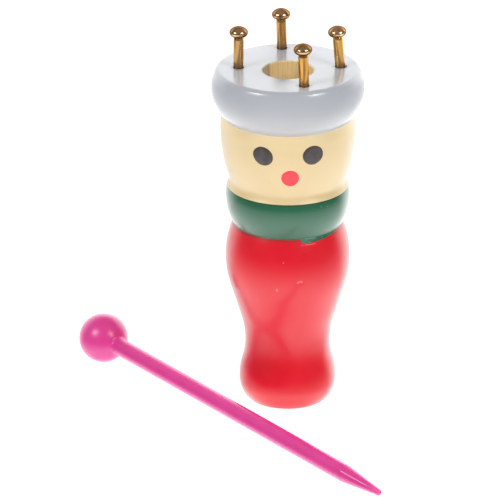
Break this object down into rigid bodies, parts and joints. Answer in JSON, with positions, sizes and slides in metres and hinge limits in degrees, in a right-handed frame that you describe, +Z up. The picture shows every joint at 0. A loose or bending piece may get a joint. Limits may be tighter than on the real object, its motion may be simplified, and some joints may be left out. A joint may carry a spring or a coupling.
{
  "type": "knitting nancy",
  "caption": "Turned wooden French-knitting doll with a yarn bore along its height and ball-head brass pins in its cap, and a loose ball-knob needle that lies beside it.",
  "frame": {"origin": "where the axis of the yarn bore meets the doll's base", "axes": "+Z up along the yarn bore, -Y the way the doll's face looks, +X to the right as one looks at the face"},
  "size_m": [0.0755, 0.0916, 0.0987],
  "materials": {
    "gown_paint": "gloss red paint on turned wood",
    "collar_paint": "gloss dark green paint on turned wood",
    "face_paint": "satin cream paint on turned wood",
    "cap_paint": "gloss pale blue-grey paint on turned wood",
    "eye_paint": "satin dark grey-brown paint dots",
    "nose_paint": "satin coral red paint dot",
    "bare_wood": "bare drilled and sawn wood",
    "brass": "drawn brass with light tarnish",
    "needle_plastic": "gloss magenta moulded plastic"
  },
  "bodies": {
    "doll": {"turned_body": "gown_paint", "pin_front": "brass", "pin_right": "brass", "pin_back": "brass", "pin_left": "brass"},
    "needle": {"needle": "needle_plastic"}
  },
  "joints": [
    {"name": "needle_lift", "type": "slide", "parent": "doll", "child": "needle", "axis": [0, 0, 1], "range_m": [0, 0.15]}
  ]
}
